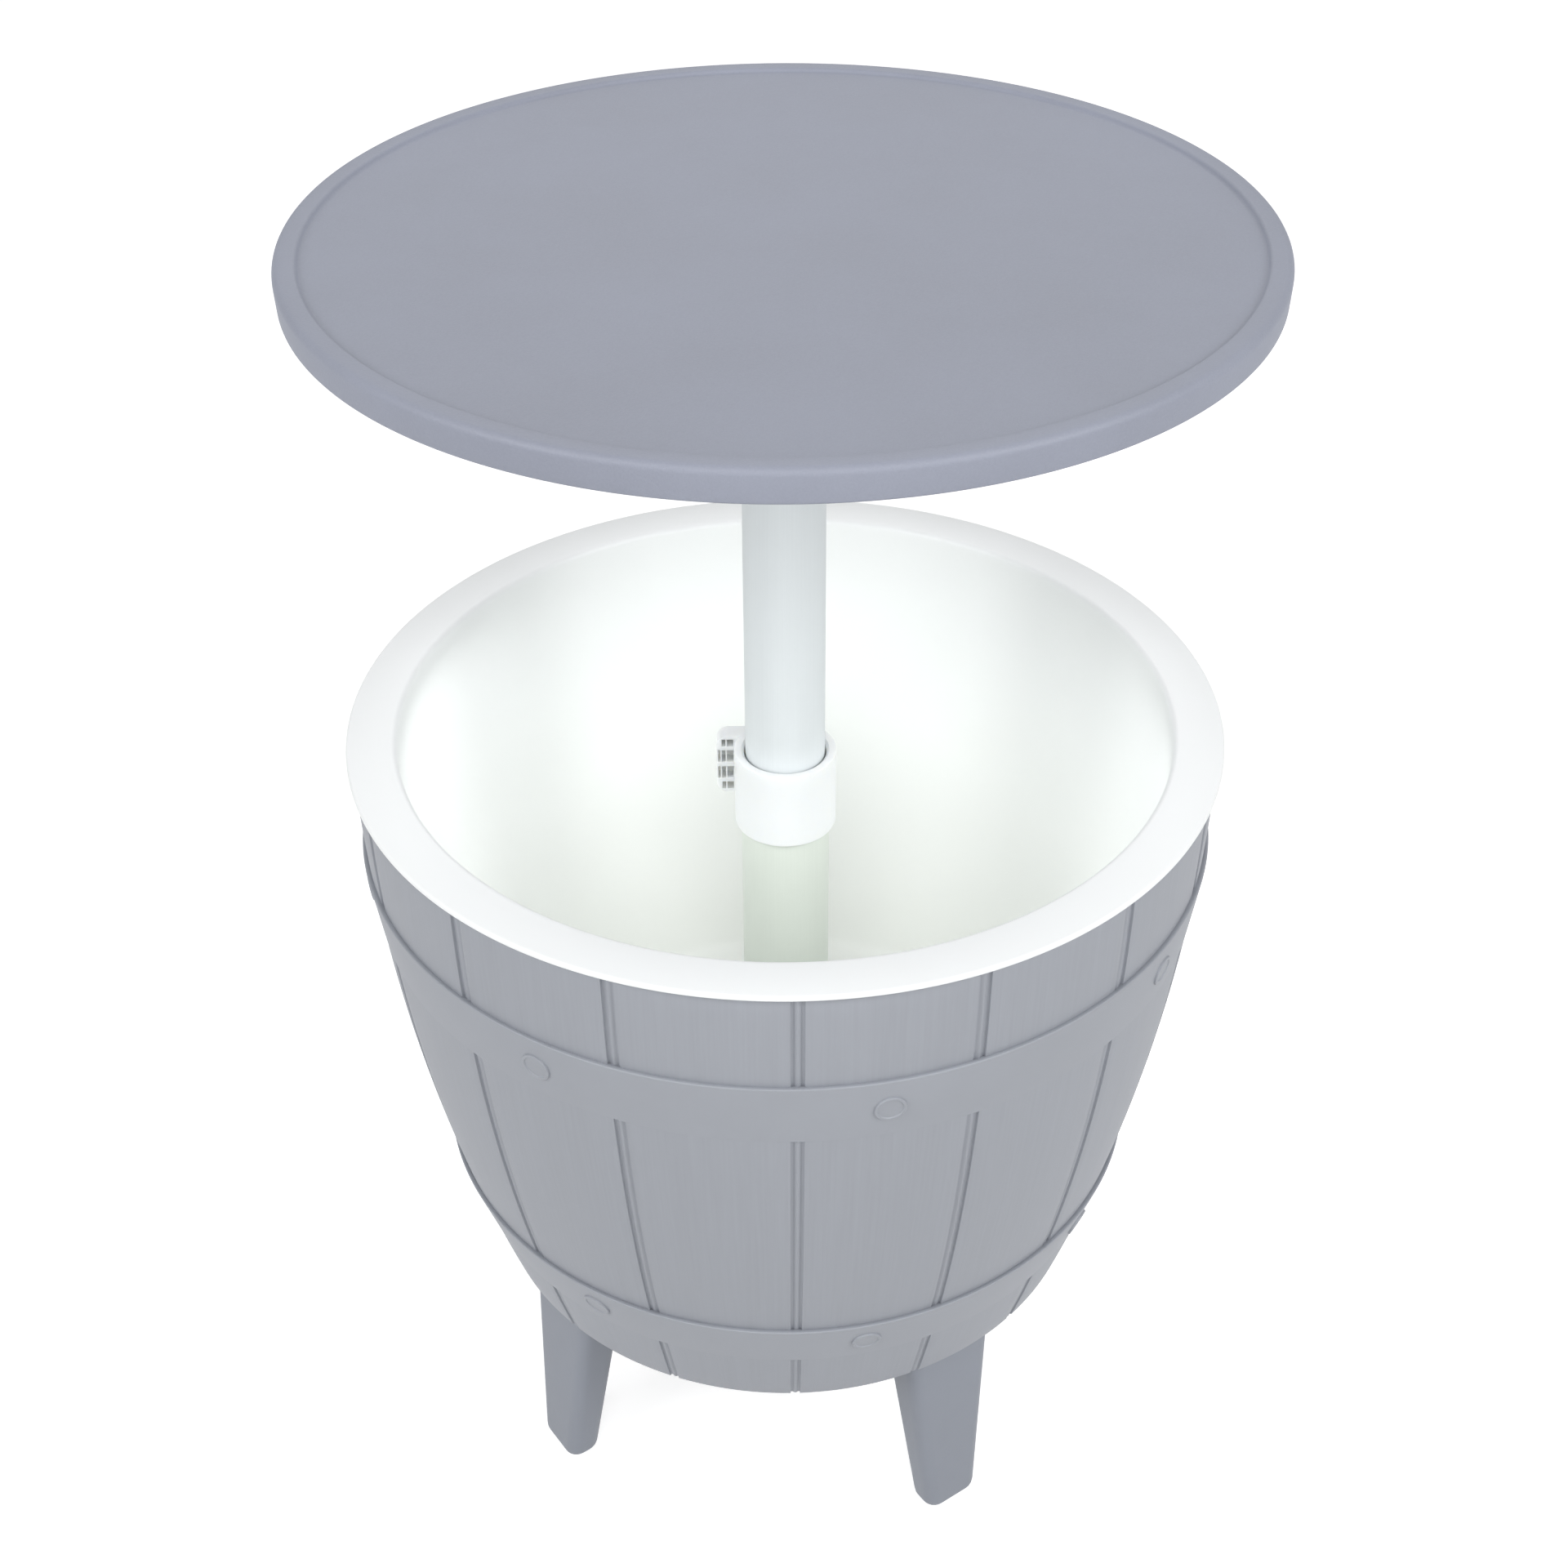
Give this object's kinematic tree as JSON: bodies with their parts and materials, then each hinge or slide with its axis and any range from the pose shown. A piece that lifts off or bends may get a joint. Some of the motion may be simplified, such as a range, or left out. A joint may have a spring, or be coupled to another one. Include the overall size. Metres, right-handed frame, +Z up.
{
  "type": "cooler bar table",
  "caption": "Round patio table on a barrel-shaped drinks cooler with a telescoping mast and tapered legs.",
  "frame": {"origin": "on the floor under the mast's axis, at the centre of the object's base", "axes": "+Z up along the mast, -Y the front seen in the picture, +X to its right"},
  "size_m": [0.4945, 0.4944, 0.7675],
  "materials": {
    "grey_barrel_plastic": "moulded wood grain on the staves, smooth hoops",
    "grey_top_plastic": "fine moulded texture",
    "grey_leg_plastic": "satin, light moulded texture",
    "white_liner_plastic": "smooth satin white",
    "white_clamp_plastic": "moulded satin white",
    "upper_tube_coating": "pale satin coating",
    "lower_tube_coating": "pale satin coating",
    "dark_grey_plastic": "moulded matt",
    "screw_steel": "zinc plated",
    "seal_rubber": "matt"
  },
  "bodies": {
    "tub": {"barrel_shell": "grey_barrel_plastic", "liner_tub": "white_liner_plastic", "liner_disc": "white_liner_plastic", "leg_front_left": "grey_leg_plastic", "leg_front_right": "grey_leg_plastic", "leg_rear_left": "grey_leg_plastic", "leg_rear_right": "grey_leg_plastic", "leg_screws": "screw_steel", "lower_tube": "lower_tube_coating", "pole_grommet": "seal_rubber", "pole_socket": "dark_grey_plastic", "socket_screws": "screw_steel", "collar": "white_clamp_plastic", "grip_sleeve": "white_clamp_plastic", "clamp_bolt": "screw_steel", "clamp_nut": "screw_steel", "lever_pin": "screw_steel", "drain_spout": "white_clamp_plastic", "drain_gasket": "seal_rubber", "drain_nut": "dark_grey_plastic"},
    "clamp_lever": {"clamp_lever": "white_clamp_plastic"},
    "lift_guide": {"guide_bush": "white_clamp_plastic"},
    "top": {"tabletop": "grey_top_plastic", "upper_tube": "upper_tube_coating", "tube_plug": "dark_grey_plastic", "table_hub": "dark_grey_plastic", "hub_screws": "screw_steel", "tube_bolt": "screw_steel", "tube_nut": "screw_steel"},
    "drain_washer": {"drain_washer": "seal_rubber"},
    "drain_cap": {"drain_cap": "white_clamp_plastic"}
  },
  "joints": [
    {"name": "lift", "type": "slide", "parent": "tub", "child": "lift_guide", "axis": [0, 0, 1], "range_m": [-0.278, 0]},
    {"name": "turn", "type": "hinge", "parent": "lift_guide", "child": "top", "pos_m": [0, 0, 0.58], "axis": [0, 0, 1], "continuous": true},
    {"name": "clamp_flip", "type": "hinge", "parent": "tub", "child": "clamp_lever", "pos_m": [-0.00068, 0.03571, 0.4349], "axis": [0, 0, -1], "range_deg": [0, 135]},
    {"name": "cap_travel", "type": "slide", "parent": "tub", "child": "drain_washer", "axis": [0, 0, -1], "range_m": [0, 0.009]},
    {"name": "cap_turn", "type": "hinge", "parent": "drain_washer", "child": "drain_cap", "pos_m": [0, 0.104, 0.1275], "axis": [0, 0, -1], "range_deg": [0, 1080]}
  ],
  "couplings": [
    {"joint": "cap_turn", "follows": "cap_travel", "rad_per_m": 2094.4}
  ]
}
